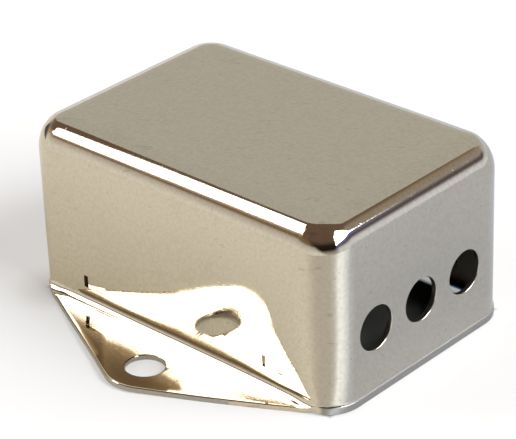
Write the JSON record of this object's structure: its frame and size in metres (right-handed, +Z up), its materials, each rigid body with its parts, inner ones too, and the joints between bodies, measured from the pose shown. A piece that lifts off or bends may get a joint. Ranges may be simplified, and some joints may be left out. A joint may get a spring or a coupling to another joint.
{
  "type": "drawn metal enclosure",
  "caption": "Deep-drawn, open-bottomed sheet-metal case with rounded edges, a row of wire holes in one end wall and a fixing ear on each long side.",
  "frame": {"origin": "middle of the open base plane, on which the ears and the trimmed edge rest", "axes": "+Z up to the closed top, +X towards the end wall with the wire holes, +Y and -Y towards the fixing ears"},
  "size_m": [0.0512, 0.0554, 0.025],
  "materials": {
    "plated_steel": "bright nickel plating on drawn steel, slightly wavy"
  },
  "bodies": {
    "root": {"drawn_case": "plated_steel"}
  },
  "joints": []
}
